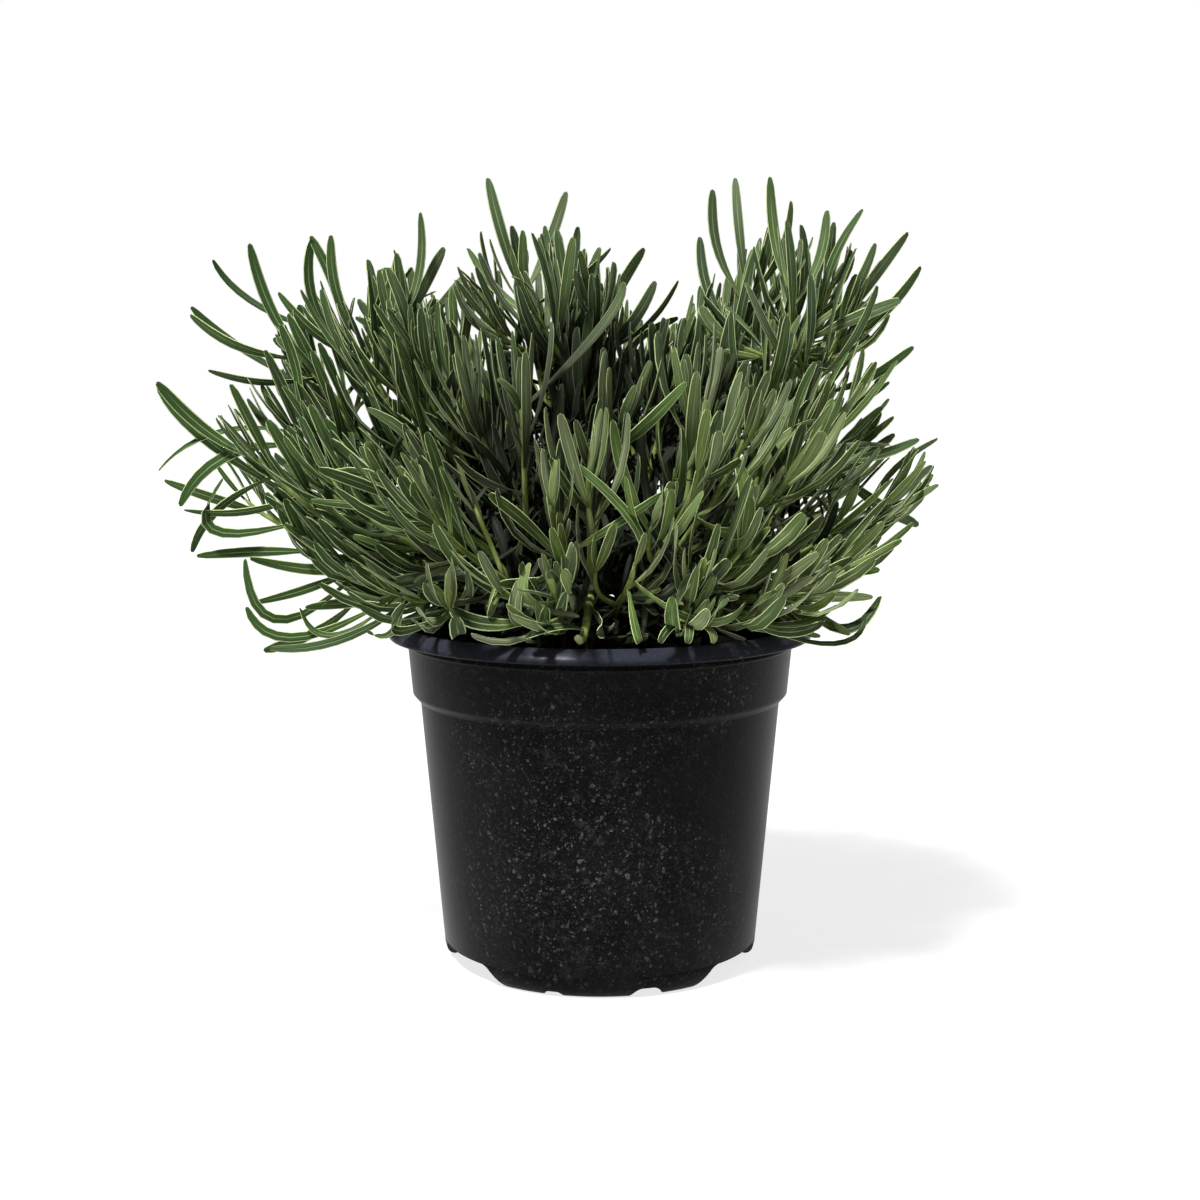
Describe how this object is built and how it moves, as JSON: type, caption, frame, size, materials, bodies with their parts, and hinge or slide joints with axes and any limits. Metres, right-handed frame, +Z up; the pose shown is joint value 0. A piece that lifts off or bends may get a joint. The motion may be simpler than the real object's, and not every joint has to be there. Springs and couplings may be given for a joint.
{
  "type": "potted lavender",
  "caption": "Bushy lavender plant without flowers, with narrow grey-green leaves on square stems, in a round black nursery pot filled with soil.",
  "frame": {"origin": "middle of the pot's flat base, on the surface that it stands on", "axes": "+Z up along the pot's axis, +X to the right and -Y towards someone who looks at the front"},
  "size_m": [0.359, 0.279, 0.345],
  "materials": {
    "pot_plastic": "matt black plastic with pale water marks",
    "potting_soil": "crumbly dark potting mix",
    "lavender": "grey-green downy leaves on yellow-green stems"
  },
  "bodies": {
    "root": {"pot": "pot_plastic", "potting_soil": "potting_soil", "stem_01": "lavender", "stem_02": "lavender", "stem_03": "lavender", "stem_04": "lavender", "stem_05": "lavender", "stem_06": "lavender", "stem_07": "lavender", "stem_08": "lavender", "stem_09": "lavender", "stem_10": "lavender", "stem_11": "lavender", "stem_12": "lavender", "stem_13": "lavender", "stem_14": "lavender", "stem_15": "lavender", "stem_16": "lavender", "stem_17": "lavender", "stem_18": "lavender", "stem_19": "lavender", "stem_20": "lavender", "stem_21": "lavender", "stem_22": "lavender", "stem_23": "lavender", "stem_24": "lavender", "stem_25": "lavender", "stem_26": "lavender", "stem_27": "lavender", "stem_28": "lavender", "stem_29": "lavender", "stem_30": "lavender", "stem_31": "lavender", "stem_32": "lavender"}
  },
  "joints": []
}
